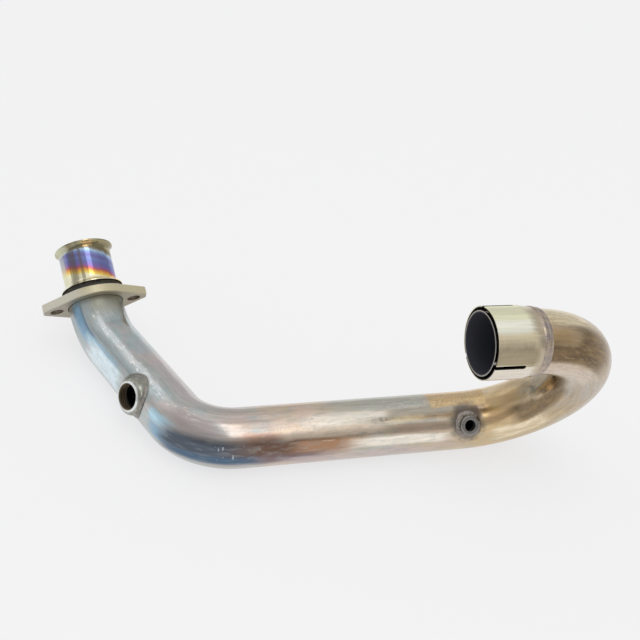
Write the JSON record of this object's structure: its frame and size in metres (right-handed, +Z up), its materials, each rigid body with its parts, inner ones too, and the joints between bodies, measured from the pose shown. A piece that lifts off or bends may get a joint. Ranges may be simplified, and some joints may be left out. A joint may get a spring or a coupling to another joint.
{
  "type": "motorcycle exhaust header",
  "caption": "Bent steel exhaust header with a loose port flange, a sensor bung, a small threaded boss and a slotted slip outlet.",
  "frame": {"origin": "on the table the header lies on, under the middle of its box", "axes": "+X along the long run, from the knee to the return bend; +Y across it, to the side the port is on; +Z up from the table"},
  "size_m": [0.3348, 0.2724, 0.1382],
  "materials": {
    "header_pipe": "heat-tinted, satin",
    "port_collar": "polished, heat-tinted",
    "collar_weld": "as welded",
    "port_flange": "matte",
    "sensor_bung": "turned, satin",
    "bung_weld": "as welded",
    "threaded_boss": "turned, satin",
    "boss_weld": "as welded",
    "outlet_sleeve": "brushed",
    "sleeve_weld": "as welded"
  },
  "bodies": {
    "header": {"header_pipe": "header_pipe", "port_collar": "port_collar", "collar_weld": "collar_weld", "sensor_bung": "sensor_bung", "bung_weld": "bung_weld", "threaded_boss": "threaded_boss", "boss_weld": "boss_weld", "outlet_sleeve": "outlet_sleeve", "sleeve_weld": "sleeve_weld"},
    "flange": {"port_flange": "port_flange"}
  },
  "joints": [
    {"name": "flange_swivel", "type": "hinge", "parent": "header", "child": "flange", "pos_m": [-0.13073, 0.09271, 0.03372], "axis": [-0.1358, 0.7613, 0.634], "continuous": true}
  ]
}
